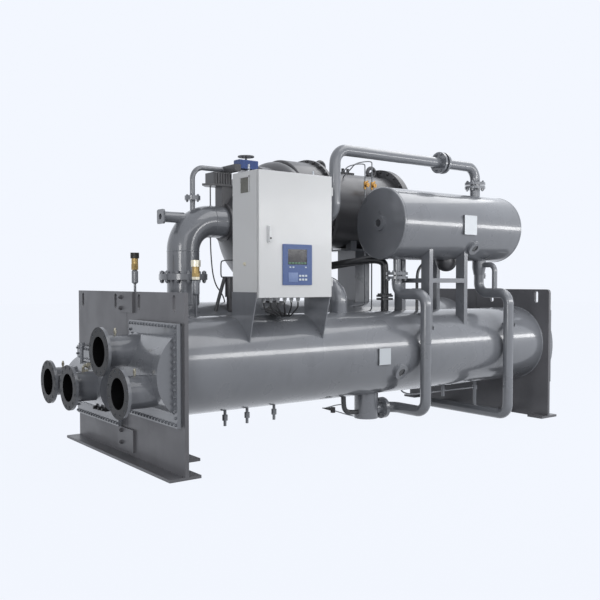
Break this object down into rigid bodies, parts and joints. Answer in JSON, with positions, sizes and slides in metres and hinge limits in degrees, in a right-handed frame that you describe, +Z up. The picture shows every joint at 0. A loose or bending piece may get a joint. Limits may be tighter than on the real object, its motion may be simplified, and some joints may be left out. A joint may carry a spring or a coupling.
{
  "type": "centrifugal chiller",
  "caption": "Water-cooled centrifugal chiller: condenser and evaporator shells between end plates, compressor on top, economizer on legs, control panel with a hinged door.",
  "frame": {"origin": "on the floor, below the outer face of the nozzle-end plates, at their mid-width", "axes": "+X along the shells, away from the water nozzles; +Y from the condenser at the front to the evaporator at the back; +Z up"},
  "size_m": [4.314, 1.9244, 2.404],
  "materials": {
    "actuator_blue": "satin",
    "cable_black": "matte",
    "casting_paint": "satin",
    "galvanized_steel": "satin",
    "gland_nylon": "matte",
    "handle_metal": "satin",
    "keypad_blue": "satin",
    "panel_paint": "semi-gloss",
    "plate_paint": "semi-gloss",
    "screen_glass": "gloss",
    "shell_paint": "semi-gloss",
    "valve_brass": "satin"
  },
  "bodies": {
    "machine": {"bypass_pipe": "shell_paint", "bypass_valve": "casting_paint", "cable_glands": "gland_nylon", "compressor_housing": "casting_paint", "compressor_support": "shell_paint", "condenser_nozzles": "shell_paint", "condenser_shell": "shell_paint", "condenser_sump": "shell_paint", "condenser_water_box": "shell_paint", "control_panel": "panel_paint", "discharge_pipe": "shell_paint", "drain_valves": "shell_paint", "economizer_ends": "shell_paint", "economizer_legs": "shell_paint", "economizer_shell": "shell_paint", "end_plates_left": "plate_paint", "end_plates_right": "plate_paint", "equalizing_pipe": "shell_paint", "evaporator_nozzles": "shell_paint", "evaporator_shell": "shell_paint", "evaporator_water_box": "shell_paint", "feed_pipe": "shell_paint", "feet": "plate_paint", "float_chamber": "casting_paint", "foot_pads": "plate_paint", "gas_pipes": "shell_paint", "gear_casing": "casting_paint", "inlet_actuator": "casting_paint", "lifting_eyes": "casting_paint", "liquid_pipe_front": "shell_paint", "motor_end_cover": "casting_paint", "motor_housing": "casting_paint", "motor_support": "shell_paint", "motor_terminals": "cable_black", "nameplates": "panel_paint", "nozzle_vents": "valve_brass", "panel_brackets": "shell_paint", "panel_cables": "cable_black", "panel_mounting_plate": "galvanized_steel", "relief_valve_bodies": "shell_paint", "relief_valve_bonnets": "valve_brass", "return_boxes": "shell_paint", "sight_glass_rings": "shell_paint", "sight_glass_windows": "screen_glass", "splice_plates": "plate_paint", "suction_elbow": "shell_paint", "suction_stub": "shell_paint", "tube_sheets": "shell_paint", "valve_actuator": "actuator_blue"},
    "door": {"display_bezel": "keypad_blue", "display_screen": "screen_glass", "door_handle": "handle_metal", "panel_door": "panel_paint"}
  },
  "joints": [
    {"name": "panel_door_hinge", "type": "hinge", "parent": "machine", "child": "door", "pos_m": [1.208, -0.895, 1.594], "axis": [0, 0, 1], "range_deg": [0, 110]}
  ]
}
